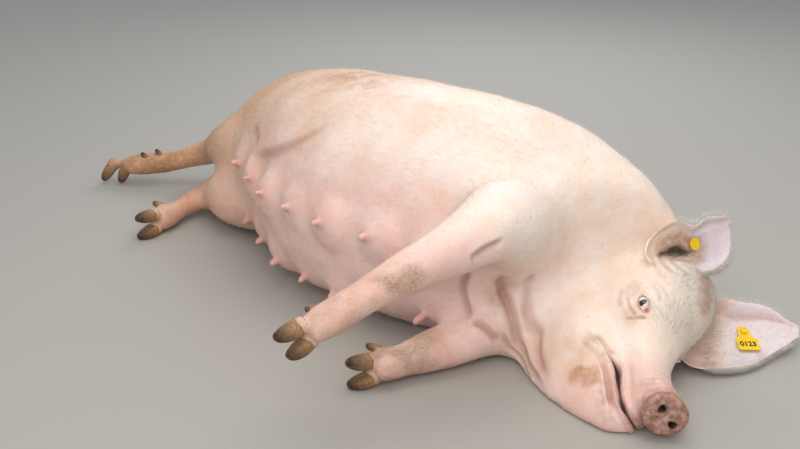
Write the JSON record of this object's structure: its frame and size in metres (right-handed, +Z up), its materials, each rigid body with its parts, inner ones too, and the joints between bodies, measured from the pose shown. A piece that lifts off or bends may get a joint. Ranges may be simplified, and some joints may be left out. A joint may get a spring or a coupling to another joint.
{
  "type": "lying sow model",
  "caption": "Life-size still model of a large white sow lying on her left side, udder outwards, with an ear tag in each ear.",
  "frame": {"origin": "centre of her bounding box's underside, on the floor", "axes": "+X from rump to snout along her body, +Y towards her back (her belly and feet point to -Y), +Z up; her right side is uppermost"},
  "size_m": [2.051, 1.1428, 0.5033],
  "materials": {
    "skin": "matt pink-white skin with sparse white bristles",
    "ear_skin": "thin matt pink skin",
    "hoof": "dull tan to brown horn",
    "eye": "wet dark eyeball",
    "tag": "plain yellow tag plastic"
  },
  "bodies": {
    "root": {"claw_fore_left_inner": "hoof", "claw_fore_left_outer": "hoof", "claw_fore_right_inner": "hoof", "claw_fore_right_outer": "hoof", "claw_hind_left_inner": "hoof", "claw_hind_left_outer": "hoof", "claw_hind_right_inner": "hoof", "claw_hind_right_outer": "hoof", "dewclaw_fore_left_inner": "hoof", "dewclaw_fore_left_outer": "hoof", "dewclaw_fore_right_inner": "hoof", "dewclaw_fore_right_outer": "hoof", "dewclaw_hind_left_inner": "hoof", "dewclaw_hind_left_outer": "hoof", "dewclaw_hind_right_inner": "hoof", "dewclaw_hind_right_outer": "hoof", "ear_left": "ear_skin", "ear_right": "ear_skin", "eye_left": "eye", "eye_right": "eye", "foreleg_left": "skin", "foreleg_right": "skin", "head": "skin", "hindleg_left": "skin", "hindleg_right": "skin", "neck": "skin", "tag_left_flag": "tag", "tag_left_stud": "tag", "tag_right_button": "tag", "tail": "skin", "trunk": "skin"}
  },
  "joints": []
}
